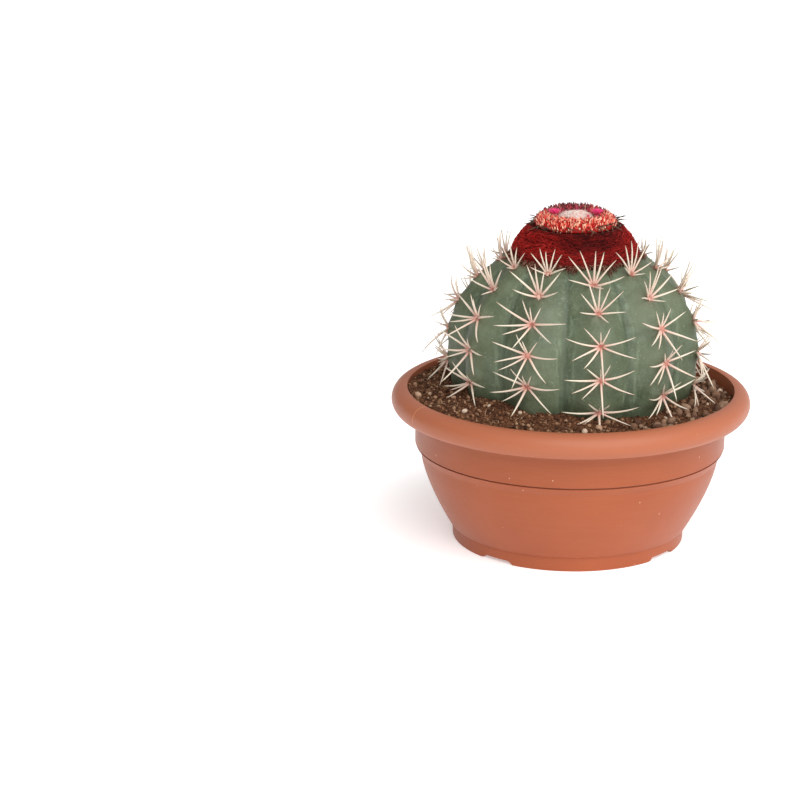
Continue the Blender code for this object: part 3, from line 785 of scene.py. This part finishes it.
skin = Finish("waxy_skin", 0.5, 0.4)
groove = skin.attribute("groove")
broad = skin.ramp(skin.clouds(0.018, detail=4.0), (0.35, 0.0), (0.65, 1.0))
skin.paint(skin.blend(broad, "47523b", "5b644b"))
bloom = skin.ramp(skin.clouds(0.006, detail=5.0, roughness=0.65), (0.45, 0.0), (0.72, 1.0))
skin.coat(bloom * 0.45, "6b7864")
stains = skin.ramp(skin.clouds(0.010, detail=4.0, stretch=(1.0, 1.0, 0.4)), (0.5, 0.0), (0.8, 1.0))
skin.coat(stains * 0.4, "3f4f3a")
streaks = skin.ramp(skin.clouds(0.0018, detail=4.0, stretch=(1.0, 1.0, 0.12)), (0.45, 0.0), (0.75, 1.0))
streak_zone = skin.ramp(groove, (0.62, 0.0), (0.82, 1.0), (0.93, 0.55), (1.0, 0.1))
skin.coat(streaks * streak_zone * 0.6, "83927a")
# Painted shade: the bottom of each groove is painted darker.
skin.coat(skin.ramp(groove, (0.80, 0.0), (1.0, 1.0)) * 0.35, "344236")
specks = skin.ramp(skin.clouds(0.0011, detail=2.0), (0.66, 0.0), (0.72, 1.0))
skin.coat(specks * 0.45, "8f9a84")
skin.coat(skin.attribute("areole") * 0.35, "6f6c55")
# The skin is painted darker, in cloudy patches, within about a centimetre above the soil.
above = skin.attribute("above_soil") * 0.04 + skin.clouds(0.006) * 0.4
soil_line_darkening = skin.ramp(above, (0.25, 1.0), (0.62, 0.0))
skin.coat(soil_line_darkening * 0.45, "3d4430")
skin.feed("Roughness", skin.clouds(0.009) * 0.2 + 0.42)
skin.bump(skin.clouds(0.0016, detail=4.0) * 0.5 + skin.clouds(0.007), 0.0005)

stem_shape = spun(stem_section(), STEM_STEPS)
shape_ribs(stem_shape)
stem = placed("ribbed_stem", stem_shape, skin)
skin_marks(stem.data)
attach(stem, "root")
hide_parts("cactus_stem")

# ---------------------------------------------------------------- spines
# Each areole on a crest bears eight or nine stiff spines that stand round it like a
# star: ivory, flushed with pink at the foot, thick below and drawn out to a point.
SPINE_RADIUS = 0.00070
RIB_LEANS = (-7, -6, 5, 3, 4, 0, -4, 6, 0, -5, -6)
SIDE_SPINES = (
    (166, 17, 0.0215), (197, 20, 0.0205), (127, 30, 0.0150), (97, 42, 0.0115), (60, 34, 0.0125),
    (12, 17, 0.0210), (-32, 20, 0.0205), (-99, 30, 0.0225), (-144, 25, 0.0165),
)
CROWN_SPINES = (
    (154, 46, 0.0205), (191, 34, 0.0165), (124, 56, 0.0205), (97, 66, 0.0200), (66, 60, 0.0190),
    (30, 46, 0.0200), (-8, 34, 0.0165), (-66, 42, 0.0105),
)
CROWN_ROW = 3
BACK_RIBS = range(5, 10)
BACK_SHARE = 0.72


def spine_taper(along):
    """A thick collar, an even shaft, then a long point."""
    return (1.0 + 0.4 * np.exp(-along * 22.0)) * np.clip(1.0 - along, 0.02, 1.0) ** 0.45


def crown_share(rib, row):
    """Length share of the spines: shorter close under the felt and at the back."""
    if row < CROWN_ROW:
        return 1.0
    share = 0.74 + 0.30 * min((CREST_ROOM - row_place(rib, row)) / 0.0035, 1.0)
    return share * (BACK_SHARE if rib in BACK_RIBS else 1.0)


def spine_star(place, pattern, turn, drop, size):
    """Strands and radii of one areole's spines, turned; none goes lower than the drop."""
    strands, radii = [], []
    for direction, lift, length in pattern:
        angle = math.radians(direction + turn + dice.uniform(-6, 6))
        rise = math.radians(lift + dice.uniform(-5, 5))
        reach = length * size * dice.uniform(0.88, 1.08)
        heading = Vector((math.cos(angle), math.sin(angle), 0.0))
        tip = (heading * math.cos(rise) + upward(math.sin(rise))) * reach
        if tip.y < -drop:
            tip.z = math.sqrt(tip.z**2 + (tip.y**2 - drop**2) * 0.3)
            tip.y = -drop
        foot = heading * 0.0007 + upward(0.0004)
        bend = Vector((0.0, dice.uniform(-0.11, 0.02), dice.uniform(0.0, 0.10))) * reach
        strands.append((place @ foot, place @ (foot.lerp(tip, 0.5) + bend), place @ tip))
        radii.append(SPINE_RADIUS * dice.uniform(0.85, 1.1) * (reach / 0.020) ** 0.35)
    return strands, radii


horn = Finish("ivory_horn", 0.45, 0.5)
horn.shades(
    "along", (0.0, "a05f52"), (0.06, "bd8474"), (0.15, "cfb0a0"), (0.38, "dbccb8"),
    (0.85, "dcd3bf"), (1.0, "a8957a"),
)
horn.coat(horn.attribute("shade") * 0.35, "c9a091")
horn.bump(horn.clouds(0.0006, detail=3.0), 0.00008)

spine_rod = rod(7, 9)
for (rib, row), place in AREOLES.items():
    spot = place.translation
    drop = spot.z - soil_height(spot.x, spot.y) - 0.0012
    if drop < -0.002:
        continue
    pattern = CROWN_SPINES if row >= CROWN_ROW else SIDE_SPINES
    turn = RIB_LEANS[rib] if row < CROWN_ROW else 0
    star = spine_star(place, pattern, turn, max(drop, 0.002), crown_share(rib, row))
    label = f"spines_rib{rib + 1:02d}_row{row + 1}"
    spines = grown(f"star_rib{rib + 1:02d}_row{row + 1}", spine_rod, *star, spine_taper, horn)
    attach(spines, "root")
    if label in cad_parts:
        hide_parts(label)

# ---------------------------------------------------------------- areole wool
# A small cushion of pinkish felt fills each areole and hides the spines' feet.
TUFT_HAIRS = 70

areole_felt = Finish("areole_felt", 0.95, 0.2)
areole_felt.shades("shade", (0.0, "95584c"), (0.5, "bd8375"), (1.0, "d2b3a2"))
strands = []
cushion_places = []
for (rib, row), place in AREOLES.items():
    spot = place.translation
    if spot.z < soil_height(spot.x, spot.y) - 0.001:
        continue
    cushion_places.append(place @ upward(0.0001))
    for _ in range(TUFT_HAIRS):
        angle = dice.uniform(0, math.tau)
        out = math.sqrt(dice.random())
        flat = Vector((math.cos(angle) * 0.0018, math.sin(angle) * 0.0021, 0.0)) * out
        foot = flat + upward(0.0002)
        tip = flat * 1.5 + Vector((dice.normal() * 0.0003, dice.normal() * 0.0003, 0.0017 - 0.0007 * out))
        bow = foot.lerp(tip, 0.6) + upward(0.0002)
        strands.append((place @ foot, place @ bow, place @ tip))
radii = np.full(len(strands), 0.00013)
tufts = grown("areole_tufts", rod(3, 3), strands, radii, hair_taper, areole_felt)
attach(tufts, "root")
cushion_sizes = np.full(len(cushion_places), 0.0016)
cushions = lumps("areole_cushions", 2, cushion_places, cushion_sizes, 0.06, areole_felt)
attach(cushions, "root")

# ---------------------------------------------------------------- cephalium felt
# The crown ends in a dome of matted bristles, deep red, and brown and woolly along its
# edge; painted shade of the ring makes it nearly black in front under the ring.
# Fine wavy hairs lie round it.
FELT_TOP_RADIUS = 0.0262
FELT_FULLNESS = 1.9
FELT_INSET = 0.0011
FELT_STEPS = 160
FELT_HAIRS = 4600
FRINGE_HAIRS = 2400
FELT_BASE = felt_low.z
FELT_HEIGHT = felt_high.z - felt_low.z


def felt_radius(share):
    """Radius of the dome at a share of its height."""
    return FELT_TOP_RADIUS + (FELT_BASE_RADIUS - FELT_TOP_RADIUS) * (1.0 - share**FELT_FULLNESS)


def felt_point(azimuth, share, off):
    """A point on the dome at a share of its height, kept between 0 and 1, moved off its surface."""
    share = clamped(share)
    radius = felt_radius(share) - FELT_INSET
    return towards(azimuth) * (radius + off) + on_axis(FELT_BASE + FELT_HEIGHT * share + off * 0.35)


def felt_section():
    """Half section of the dome under its hair."""
    top = FELT_BASE + FELT_HEIGHT * 0.97
    section = [(0.0, top), (FELT_TOP_RADIUS - 0.003, top)]
    for step in range(31):
        share = 1.0 - step / 30
        section.append((felt_radius(share) - FELT_INSET - 0.0002, FELT_BASE + FELT_HEIGHT * share * 0.96))
    section.append((0.0, FELT_BASE))
    return section


def burnt(azimuth, share):
    """How much painted shade of the ring darkens the felt: most in front, just under the ring."""
    turn = (azimuth - math.radians(14) + math.pi) % math.tau - math.pi
    patch = 1.0 + 0.6 * noise.noise(Vector((azimuth * 5.0, share * 4.0, 0.0)))
    return math.exp(-((turn / 0.88) ** 2)) * clamped((share - 0.24) / 0.42) * clamped(patch)


felt = Finish("red_felt", 0.8, 0.15)
felt.shades(
    "height", (0.0, "552c22"), (0.10, "7c1c17"), (0.45, "b01a14"), (0.85, "b41812"),
    (1.0, "7a100d"),
)
# Painted highlights: the lightest hairs are painted a lighter red, as small gleams on the felt.
felt.coat(felt.attribute("shade") ** 2.5 * 0.6, "c8433c")
felt.coat(felt.ramp(felt.attribute("shade"), (0.0, 1.0), (0.35, 0.0)) * 0.8, "3d0b0a")
# Painted shade of the ring: the felt darkens nearly to black in front under the ring.
felt.coat(felt.attribute("burnt") * 0.94, "260a09")

felt_shape = spun(felt_section(), FELT_STEPS)
for vert in felt_shape.verts:
    if vert.co.z > FELT_BASE + 0.0002:
        vert.co += Vector((vert.co.x, vert.co.y, 0.0)).normalized() * noise.noise(vert.co / 0.003) * 0.0005
bmesh.ops.translate(felt_shape, verts=felt_shape.verts[:], vec=(PLANT_X, 0.0, 0.0))
felt_dome = placed("felt_dome", felt_shape, felt)
shares = [(vert.co.z - FELT_BASE) / FELT_HEIGHT for vert in felt_dome.data.vertices]
azimuths = [math.atan2(vert.co.x - PLANT_X, -vert.co.y) for vert in felt_dome.data.vertices]
store(felt_dome.data, "height", shares)
store(felt_dome.data, "shade", 0.0)
# Each point of the dome keeps its share of the painted shade under the ring.
store(felt_dome.data, "burnt", [burnt(azimuth, share) for azimuth, share in zip(azimuths, shares)])
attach(felt_dome, "root")
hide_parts("cephalium_felt")

# Each hair keeps the painted shade of the ring at its middle, a little varied.
strands, heights, ring_shading = [], [], []
for _ in range(FELT_HAIRS):
    azimuth = dice.uniform(0, math.tau)
    share = dice.uniform(0.02, 1.0)
    swing = dice.choice((-1.0, 1.0)) * dice.uniform(0.06, 0.26)
    flow = noise.noise(Vector((math.sin(azimuth) * 2.2, math.cos(azimuth) * 2.2, share * 3.0)))
    climb = flow * 0.24 * math.copysign(1.0, swing) + dice.normal() * 0.05
    stand = dice.uniform(0.0001, 0.0008)
    foot = felt_point(azimuth, share, -0.0002)
    bow = felt_point(azimuth + swing * 0.5, share + climb * 0.2 + 0.06, stand * 1.8)
    strands.append((foot, bow, felt_point(azimuth + swing, share + climb, stand)))
    heights.append(share)
    ring_shading.append(burnt(azimuth + swing * 0.5, share) * dice.uniform(0.7, 1.0))
radii = dice.uniform(0.00014, 0.00027, FELT_HAIRS)
felt_hairs = grown("felt_hairs", rod(3, 5), strands, radii, hair_taper, felt, height=heights, burnt=ring_shading)
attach(felt_hairs, "root")

fringe_finish = Finish("brown_fringe", 0.9, 0.2)
fringe_finish.shades("shade", (0.0, "3e1a14"), (0.4, "6e3228"), (0.75, "8a6650"), (1.0, "b4967c"))
strands = []
for _ in range(FRINGE_HAIRS):
    azimuth = dice.uniform(0, math.tau)
    valley = groove_share(azimuth)
    uneven = abs(noise.noise(Vector((math.sin(azimuth), math.cos(azimuth), 0.0)) * 4.0))
    reach = (0.0016 + 0.0030 * uneven) * (1.0 + 1.4 * valley)
    foot = towards(azimuth) * (FELT_BASE_RADIUS - dice.uniform(0.0009, 0.0034))
    foot += on_axis(FELT_BASE + dice.uniform(0.0, 0.0022))
    out = towards(azimuth + dice.normal() * 0.7) * reach
    drop = upward(reach * (0.75 + 0.35 * valley) * dice.uniform(0.2, 0.9))
    bow = foot + out * 0.6 + upward(dice.uniform(0.0002, 0.0014))
    strands.append((foot, bow, foot + out - drop))
radii = dice.uniform(0.00012, 0.00021, FRINGE_HAIRS)
fringe = grown("woolly_fringe", rod(3, 4), strands, radii, hair_taper, fringe_finish)
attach(fringe, "root")

# ---------------------------------------------------------------- bristle ring
# On the dome stands a ring of short soft bristles packed like the pile of a brush:
# orange-red, salmon and peach in front, purple with dark tips at the back.
ring_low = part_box("bristle_ring")[0]
RING_INNER_RADIUS = 0.0096
RING_OUTER_RADIUS = 0.0222
RING_SEAT = ring_low.z - 0.0005
RING_BODY = 0.0050
RING_STEPS = 120
BRISTLE_COUNT = 1700
STRAY_COUNT = 60
REMAINS_COUNT = 120


def ring_arch(share):
    """Height of the bed of the ring across its width, 0 to 1."""
    return max(1.0 - abs(share * 2.0 - 1.0) ** 2.6, 0.0)


def ring_section():
    """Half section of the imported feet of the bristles."""
    width = RING_OUTER_RADIUS - RING_INNER_RADIUS
    shares = [step / 24 for step in range(25)]
    level = RING_SEAT + 0.001
    arch = [(RING_INNER_RADIUS + width * share, level + RING_BODY * ring_arch(share)) for share in shares]
    return [(0.0, level)] + arch + [(RING_OUTER_RADIUS, RING_SEAT), (0.0, RING_SEAT)]


def bristle_taper(along):
    """Swollen below the middle, with a blunt point."""
    swell = 0.75 + 0.45 * np.sin(np.pi * np.clip(along * 1.2, 0.0, 1.0))
    return swell * np.clip(1.0 - along, 0.03, 1.0) ** 0.45


bristle = Finish("orange_bristle", 0.55, 0.35)
bristle.shades(
    "shade", (0.0, "b02420"), (0.18, "dc4433"), (0.38, "ec6a4c"), (0.58, "f08f78"),
    (0.80, "f6b89a"), (1.0, "fbdcb4"),
)
bristle.coat(bristle.attribute("pink"), "a02a50")
# Painted shade: the bristles' feet deep in the pile, and more of the outer bristles under the ring's edge,
# are painted dark red.
pile_shade = bristle.attribute("along") - bristle.attribute("outer") * 0.4
bristle.coat(bristle.ramp(pile_shade, (0.0, 0.8), (0.34, 0.0)), "7a1a14")
tip_share = bristle.ramp(bristle.attribute("along"), (0.62, 0.0), (0.85, 1.0)) * bristle.attribute("dark")
bristle.coat(tip_share, "4a1018")

ring_shape = spun(ring_section(), RING_STEPS)
bmesh.ops.translate(ring_shape, verts=ring_shape.verts[:], vec=(PLANT_X, 0.0, 0.0))
ring_body = placed("bristle_bed", ring_shape, felt)
# The bed under the bristles keeps a share of the felt's painted shade, as the shade among their feet.
for name, value in (("height", 0.8), ("shade", 0.3), ("burnt", 0.3)):
    store(ring_body.data, name, value)
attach(ring_body, "root")

strands, dark, pink, outer = [], [], [], []
for _ in range(BRISTLE_COUNT):
    azimuth = dice.uniform(0, math.tau)
    share = dice.random() ** 0.85
    radius = RING_INNER_RADIUS + (RING_OUTER_RADIUS - RING_INNER_RADIUS) * share
    foot = towards(azimuth) * radius + on_axis(RING_SEAT + RING_BODY * ring_arch(share) * 0.9)
    lean = -0.40 + 0.80 * share**1.3
    aim = towards(azimuth + dice.normal() * 0.35) * lean
    aim += Vector((dice.normal() * 0.10, dice.normal() * 0.10, 1.0))
    back = 0.5 - 0.5 * math.cos(azimuth)
    length = dice.uniform(0.0019, 0.0034) + 0.0024 * back**3
    tip = foot + aim.normalized() * length
    bow = foot.lerp(tip, 0.5) + Vector((dice.normal(), dice.normal(), 0.0)) * 0.0003
    strands.append((foot, bow, tip))
    dark.append(1.0 if dice.random() < 0.22 + 0.6 * back**2 else 0.0)
    pink.append(min(back**3 + 0.12, 0.9) * dice.random() ** 0.4)
    outer.append(share**6)
radii = dice.uniform(0.00032, 0.00074, BRISTLE_COUNT)
marks = {"dark": dark, "pink": pink, "outer": outer}
bristles = grown("bristles", rod(5, 4), strands, radii, bristle_taper, bristle, **marks)
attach(bristles, "root")
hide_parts("bristle_ring")

remains_finish = Finish("dried_remains", 0.9, 0.2)
remains_finish.shades(
    "shade", (0.0, "2c1a14"), (0.45, "4a3828"), (0.75, "6a3a2a"), (0.92, "8f7a64"), (1.0, "cdbba6"),
)
places, sizes = [], []
for _ in range(REMAINS_COUNT):
    azimuth = dice.uniform(0, math.tau)
    out = towards(azimuth) * (RING_OUTER_RADIUS + dice.uniform(0.0004, 0.0030))
    places.append(out + on_axis(ring_low.z - 0.0008 + dice.uniform(-0.0016, 0.0016)))
    sizes.append(dice.uniform(0.0003, 0.0008))
remains = lumps("dried_remains", 1, places, sizes, 0.3, remains_finish, 0.6, sharp=40)
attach(remains, "root")

stray_finish = Finish("stray_bristles", 0.7, 0.3)
stray_finish.paint(stray_finish.blend(stray_finish.attribute("shade"), "2e1714", "6b5a44"))
strands = []
for _ in range(STRAY_COUNT):
    azimuth = dice.uniform(0, math.tau)
    foot = towards(azimuth) * RING_OUTER_RADIUS + on_axis(ring_low.z + dice.uniform(0.0, 0.0030))
    away = towards(azimuth + dice.normal() * 0.5) * dice.uniform(0.0030, 0.0082)
    tip = foot + away + upward(dice.uniform(-0.0040, 0.0032))
    bow = foot.lerp(tip, 0.5) + upward(dice.uniform(0.0, 0.0012))
    strands.append((foot, bow, tip))
radii = dice.uniform(0.00026, 0.00042, STRAY_COUNT)
strays = grown("stray_bristles", rod(4, 4), strands, radii, hair_taper, stray_finish)
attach(strays, "root")

# ---------------------------------------------------------------- wool
# Soft white wool, tinged with peach, wells up in the middle of the ring.
WOOL_RADIUS = 0.0094
WOOL_HAIRS = 1500
wool_low, wool_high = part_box("wool_tuft")
WOOL_LEVEL = wool_low.z + 0.0030
WOOL_RISE = wool_high.z - WOOL_LEVEL - 0.0002

wool = Finish("white_wool", 0.95, 0.2)
wool.paint(wool.blend(wool.attribute("shade"), "fdece4", "fffdfb"))
blush = wool.ramp(wool.clouds(0.0030), (0.42, 0.0), (0.62, 1.0))
wool.coat(blush * 0.6, "fabdaa")
wool_shape = bmesh.new()
bmesh.ops.create_icosphere(wool_shape, subdivisions=4, radius=1.0)
for vert in wool_shape.verts:
    puff = 1.0 + 0.12 * noise.noise(vert.co * 2.6) + 0.05 * noise.noise(vert.co * 7.0)
    rise = vert.co.z * (WOOL_RISE if vert.co.z > 0.0 else WOOL_LEVEL - wool_low.z)
    around = Vector((vert.co.x, vert.co.y, 0.0)) * WOOL_RADIUS * puff
    vert.co = around + on_axis(WOOL_LEVEL + rise)
wool_body = placed("wool_body", wool_shape, wool)
store(wool_body.data, "shade", 0.6)
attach(wool_body, "root")
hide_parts("wool_tuft")
strands = []
for _ in range(WOOL_HAIRS):
    azimuth = dice.uniform(0, math.tau)
    share = math.sqrt(dice.random())
    rise = math.sqrt(max(1.0 - share * share, 0.0)) * WOOL_RISE
    foot = towards(azimuth) * WOOL_RADIUS * share + on_axis(WOOL_LEVEL + rise)
    curl = Vector((dice.normal(), dice.normal(), dice.normal() * 0.3)) * 0.0011
    tip = foot + curl + upward(dice.uniform(0.0002, 0.0011))
    strands.append((foot, foot - curl * 0.5 + upward(0.0007), tip))
radii = dice.uniform(0.00008, 0.00016, WOOL_HAIRS)
wool_hairs = grown("wool_hairs", rod(3, 4), strands, radii, hair_taper, wool)
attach(wool_hairs, "root")

# ---------------------------------------------------------------- flowers
# Small magenta flowers push up between the wool and the bristles. Two are open into
# pointed petals, and two are still narrow buds.
OPEN_FLOWERS = (1, 3)
FLOWER_WHORLS = (
    (8, 44, 0.0044, 0.00110, 0.0, 0.0006), (8, 24, 0.0040, 0.00100, 0.5, 0.0004),
    (5, 8, 0.0030, 0.00070, 0.2, 0.0002),
)
BUD_WHORLS = ((6, 5, 0.0034, 0.00070, 0.0, 0.0003),)

petal = Finish("magenta_petal", 0.5, 0.4)
petal.shades("along", (0.0, "d4607c"), (0.45, "e04278"), (1.0, "dc3270"))
petal.coat(petal.attribute("bud") * 0.7, "c9586c")


def petal_whorl(shape, count, lean, length, width, turn, spread):
    """Pointed petals that stand in a circle and lean outwards."""
    for number in range(count):
        made = bmesh.ops.create_icosphere(shape, subdivisions=2, radius=1.0)["verts"]
        for vert in made:
            vert.co.y *= 1.0 - 0.75 * max(vert.co.z, 0.0) ** 2
            vert.co.x += 0.8 * vert.co.z * vert.co.z
        size = Matrix.Diagonal((width * 0.25, width, length / 2, 1.0))
        rise = Matrix.Translation((0.0, 0.0, length / 2))
        tip = Matrix.Rotation(math.radians(lean), 4, "Y")
        out = Matrix.Translation((spread, 0.0, 0.0))
        face = Matrix.Rotation(math.tau * (number + turn) / count, 4, "Z")
        bmesh.ops.transform(shape, verts=made, matrix=face @ out @ tip @ rise @ size)


def flower_shape(is_open):
    """A flower or a bud on its tube, with its top at the origin's height."""
    shape = bmesh.new()
    for whorl in FLOWER_WHORLS if is_open else BUD_WHORLS:
        petal_whorl(shape, *whorl)
    bmesh.ops.translate(shape, verts=shape.verts[:], vec=(0.0, 0.0, -0.0036))
    tube = bmesh.ops.create_cone(
        shape, cap_ends=True, segments=16, radius1=0.0010, radius2=0.0012, depth=0.0048
    )["verts"]
    bmesh.ops.translate(shape, verts=tube, vec=(0.0, 0.0, -0.0055))
    return shape


for number in range(1, 5):
    low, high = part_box(f"flower_{number}")
    is_open = number in OPEN_FLOWERS
    shape = flower_shape(is_open)
    top = Vector(((low.x + high.x) / 2, (low.y + high.y) / 2, high.z - (0.0004 if is_open else 0.0016)))
    bmesh.ops.translate(shape, verts=shape.verts[:], vec=top)
    flower = placed(f"magenta_flower_{number}", shape, petal)
    tops = np.array([vert.co.z for vert in flower.data.vertices])
    store(flower.data, "along", np.clip((tops - high.z + 0.0040) / 0.0040, 0.0, 1.0))
    store(flower.data, "bud", 0.0 if is_open else 1.0)
    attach(flower, "root")
    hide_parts(f"flower_{number}")

# ---------------------------------------------------------------- floor, light and camera
# A pale studio: a white floor, white surroundings that grow brighter to the right,
# and a wide soft light from the front right.
FLOOR_SIZE = 60.0
FLOOR_GLOW = 0.36
LIGHT_STRENGTH = 3.1
LIGHT_SPREAD = math.radians(70)
LIGHT_COURSE = (-0.28, 0.72, -0.68)
CAMERA_PLACE = (-0.0952, -1.2266, 0.4368)
CAMERA_TILT = math.radians(90.0 - 16.3)
WORLD_LEFT = 0.24
WORLD_RIGHT = 0.80

floor_finish = Finish("studio_floor", 0.9, 0.1)
floor_finish.paint("fbfafa")
floor_finish.feed("Emission Color", (1.0, 1.0, 1.0, 1.0))
floor_finish.feed("Emission Strength", FLOOR_GLOW)
floor_shape = bmesh.new()
bmesh.ops.create_grid(floor_shape, x_segments=2, y_segments=2, size=FLOOR_SIZE / 2)
floor = placed("studio_floor", floor_shape, floor_finish)

world = bpy.data.worlds.new("studio")
bpy.context.scene.world = world
world.use_nodes = True
backdrop = world.node_tree.nodes["Background"]
backdrop.inputs["Color"].default_value = (1.0, 1.0, 1.0, 1.0)
direction = world.node_tree.nodes.new("ShaderNodeTexCoord")
split = world.node_tree.nodes.new("ShaderNodeSeparateXYZ")
world.node_tree.links.new(direction.outputs["Generated"], split.inputs[0])
fade = world.node_tree.nodes.new("ShaderNodeMapRange")
for name, value in (("From Min", -1.0), ("From Max", 1.0), ("To Min", WORLD_LEFT), ("To Max", WORLD_RIGHT)):
    fade.inputs[name].default_value = value
world.node_tree.links.new(split.outputs[0], fade.inputs["Value"])
world.node_tree.links.new(fade.outputs[0], backdrop.inputs["Strength"])

sun_data = bpy.data.lights.new("window", "SUN")
sun_data.energy = LIGHT_STRENGTH
sun_data.angle = LIGHT_SPREAD
sun = bpy.data.objects.new("window", sun_data)
sun.rotation_euler = Vector(LIGHT_COURSE).to_track_quat("-Z", "Y").to_euler()
bpy.context.scene.collection.objects.link(sun)

camera_data = bpy.data.cameras.new("camera")
camera_data.lens = 102.6
camera_data.sensor_width = 36.0
camera = bpy.data.objects.new("camera", camera_data)
camera.location = CAMERA_PLACE
camera.rotation_euler = (CAMERA_TILT, 0.0, 0.0)
bpy.context.scene.collection.objects.link(camera)
bpy.context.scene.camera = camera
bpy.context.scene.view_settings.view_transform = "Standard"
